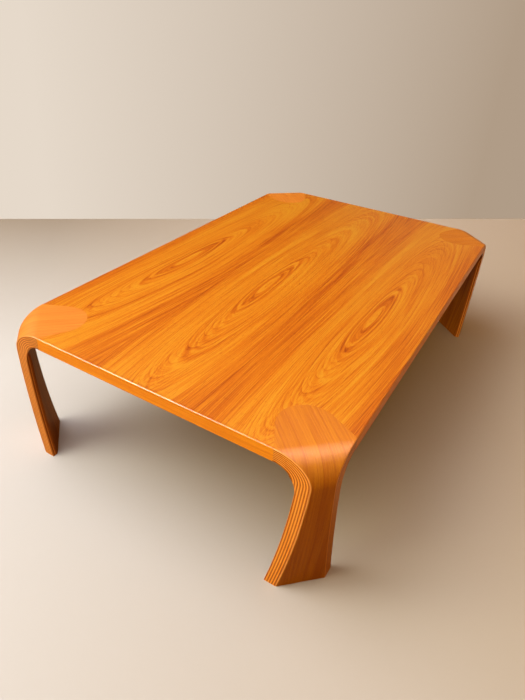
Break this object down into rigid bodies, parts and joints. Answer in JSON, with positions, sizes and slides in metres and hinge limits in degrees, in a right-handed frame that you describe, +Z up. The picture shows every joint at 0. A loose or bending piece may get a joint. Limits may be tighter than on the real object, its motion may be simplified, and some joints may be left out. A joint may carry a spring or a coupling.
{
  "type": "low table",
  "caption": "Low floor table with a veneered top on bent plywood legs that curve down from its cut corners, let in with half-moon joints.",
  "frame": {"origin": "on the floor, under the middle of the top", "axes": "+X along the table's length, +Y across its width, +Z up. The picture looks from -X and -Y, from above."},
  "size_m": [1.21, 0.75, 0.325],
  "materials": {
    "face_veneer": "satin clear lacquer over reddish orange crown-cut hardwood veneer",
    "under_veneer": "matt clear lacquer over straight-grained hardwood veneer",
    "edge_lipping": "satin clear lacquer over straight-grained solid wood",
    "leg_face_veneer": "satin clear lacquer over straight-grained hardwood veneer",
    "leg_inner_veneer": "satin clear lacquer over straight-grained hardwood veneer",
    "long_ply": "satin clear lacquer over lengthwise ply edges",
    "cross_ply": "satin clear lacquer over crosswise ply edges",
    "core_lumber": "bare softwood staves",
    "crossband_veneer": "bare crossband veneer",
    "spline_plywood": "bare plywood"
  },
  "bodies": {
    "root": {"left_top_leaf": "face_veneer", "middle_top_leaf": "face_veneer", "right_top_leaf": "face_veneer", "upper_crossband": "crossband_veneer", "core_staves": "core_lumber", "lower_crossband": "crossband_veneer", "left_under_leaf": "under_veneer", "middle_under_leaf": "under_veneer", "right_under_leaf": "under_veneer", "near_end_lipping": "edge_lipping", "far_end_lipping": "edge_lipping", "left_side_lipping": "edge_lipping", "right_side_lipping": "edge_lipping", "near_left_face_ply": "leg_face_veneer", "near_left_long_plies": "long_ply", "near_left_cross_plies": "cross_ply", "near_left_inner_ply": "leg_inner_veneer", "near_left_spline": "spline_plywood", "near_right_face_ply": "leg_face_veneer", "near_right_long_plies": "long_ply", "near_right_cross_plies": "cross_ply", "near_right_inner_ply": "leg_inner_veneer", "near_right_spline": "spline_plywood", "far_left_face_ply": "leg_face_veneer", "far_left_long_plies": "long_ply", "far_left_cross_plies": "cross_ply", "far_left_inner_ply": "leg_inner_veneer", "far_left_spline": "spline_plywood", "far_right_face_ply": "leg_face_veneer", "far_right_long_plies": "long_ply", "far_right_cross_plies": "cross_ply", "far_right_inner_ply": "leg_inner_veneer", "far_right_spline": "spline_plywood"}
  },
  "joints": []
}
